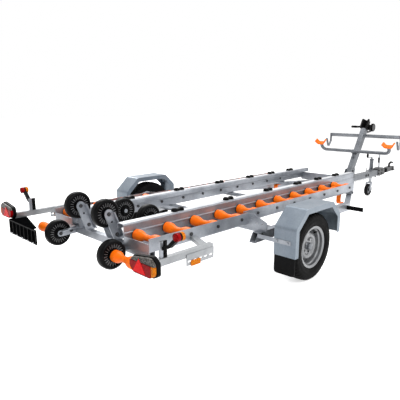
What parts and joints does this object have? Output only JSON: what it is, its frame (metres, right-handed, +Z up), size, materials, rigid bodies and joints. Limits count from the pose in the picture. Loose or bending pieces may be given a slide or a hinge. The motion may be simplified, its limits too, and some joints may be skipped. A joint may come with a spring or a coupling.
{
  "type": "boat trailer",
  "caption": "Single-axle boat trailer: galvanised tube frame, twin channels of orange keel rollers, winch post with mast carriers, rear support wheels, overrun coupling and jockey wheel.",
  "frame": {"origin": "on the ground, in the middle of the trailer's length and width", "axes": "+X forward along the drawbar, +Y to the left, +Z up"},
  "size_m": [6.3399, 2.41, 1.289],
  "materials": {
    "zinc": "hot-dip galvanised steel with a soft spangle",
    "guard_zinc": "galvanised sheet with a bluish sky reflection",
    "bright_steel": "bright zinc-plated steel",
    "cast": "black coated casting",
    "orange": "bright orange polyurethane",
    "black_rubber": "black moulded rubber",
    "tyre": "road tyre rubber",
    "rim": "silver painted steel",
    "alu": "plain aluminium section",
    "lamp": "red lamp lens",
    "black_plastic": "black moulded plastic"
  },
  "bodies": {
    "trailer": {"side_tube_right": "zinc", "side_tube_left": "zinc", "drawbar_leg_right": "zinc", "drawbar_leg_left": "zinc", "spine_tube": "zinc", "cross_bearers": "zinc", "axle_beam": "zinc", "roller_channel_right": "zinc", "roller_channel_left": "zinc", "rear_cross_tube": "zinc", "rocker_right": "zinc", "rocker_left": "zinc", "winch_post": "zinc", "upper_bar": "zinc", "mast_hooks": "zinc", "lower_bar": "zinc", "guard_stays": "zinc", "jockey_tube": "zinc", "mudguard_right": "guard_zinc", "mudguard_left": "guard_zinc", "roller_shafts": "bright_steel", "winch": "bright_steel", "handbrake_lever": "bright_steel", "stub_arms": "bright_steel", "brake_rod": "bright_steel", "coupling_head": "cast", "keel_rollers_right": "orange", "keel_rollers_left": "orange", "end_rollers": "orange", "mast_cradles": "orange", "strap_hooks": "orange", "slide_pads": "black_rubber", "bow_stop": "black_rubber", "mudflaps": "black_rubber", "coupling_gaiter": "black_rubber", "lamp_carriers": "alu", "tail_lamps": "lamp", "winch_crank": "black_plastic", "marker_lamps": "black_plastic", "plate_holder": "black_plastic", "front_markers": "black_plastic", "coupling_handle": "black_plastic"},
    "wheel_right": {"tyre_right": "tyre", "rim_right": "rim", "brake_drum_right": "cast"},
    "wheel_left": {"tyre_left": "tyre", "rim_left": "rim", "brake_drum_left": "cast"},
    "support_low_right": {"support_low_right": "black_rubber"},
    "support_low_left": {"support_low_left": "black_rubber"},
    "support_high_right": {"support_high_right": "black_rubber"},
    "support_high_left": {"support_high_left": "black_rubber"},
    "support_front_right": {"support_front_right": "black_rubber"},
    "support_front_left": {"support_front_left": "black_rubber"},
    "jockey_leg": {"jockey_leg": "bright_steel"},
    "jockey_fork": {"jockey_fork": "zinc"},
    "jockey_wheel": {"jockey_wheel": "black_rubber"}
  },
  "joints": [
    {"name": "wheel_right_spin", "type": "hinge", "parent": "trailer", "child": "wheel_right", "pos_m": [-1.47, -1.085, 0.295], "axis": [0, 1, 0], "continuous": true},
    {"name": "wheel_left_spin", "type": "hinge", "parent": "trailer", "child": "wheel_left", "pos_m": [-1.47, 1.085, 0.295], "axis": [0, 1, 0], "continuous": true},
    {"name": "support_low_right_spin", "type": "hinge", "parent": "trailer", "child": "support_low_right", "pos_m": [-2.977, -0.398, 0.419], "axis": [0, 1, 0], "continuous": true},
    {"name": "support_low_left_spin", "type": "hinge", "parent": "trailer", "child": "support_low_left", "pos_m": [-2.977, 0.398, 0.419], "axis": [0, 1, 0], "continuous": true},
    {"name": "support_high_right_spin", "type": "hinge", "parent": "trailer", "child": "support_high_right", "pos_m": [-2.888, -0.201, 0.674], "axis": [0, 1, 0], "continuous": true},
    {"name": "support_high_left_spin", "type": "hinge", "parent": "trailer", "child": "support_high_left", "pos_m": [-2.888, 0.201, 0.674], "axis": [0, 1, 0], "continuous": true},
    {"name": "support_front_right_spin", "type": "hinge", "parent": "trailer", "child": "support_front_right", "pos_m": [-2.458, -0.178, 0.562], "axis": [0, 1, 0], "continuous": true},
    {"name": "support_front_left_spin", "type": "hinge", "parent": "trailer", "child": "support_front_left", "pos_m": [-2.458, 0.178, 0.562], "axis": [0, 1, 0], "continuous": true},
    {"name": "jockey_lift", "type": "slide", "parent": "trailer", "child": "jockey_leg", "axis": [0, 0, 1], "range_m": [0, 0.12]},
    {"name": "jockey_swivel", "type": "hinge", "parent": "jockey_leg", "child": "jockey_fork", "pos_m": [2.54, 0.112, 0.22], "axis": [0, 0, 1], "continuous": true},
    {"name": "jockey_wheel_spin", "type": "hinge", "parent": "jockey_fork", "child": "jockey_wheel", "pos_m": [2.48, 0.112, 0.1], "axis": [0, 1, 0], "continuous": true}
  ]
}
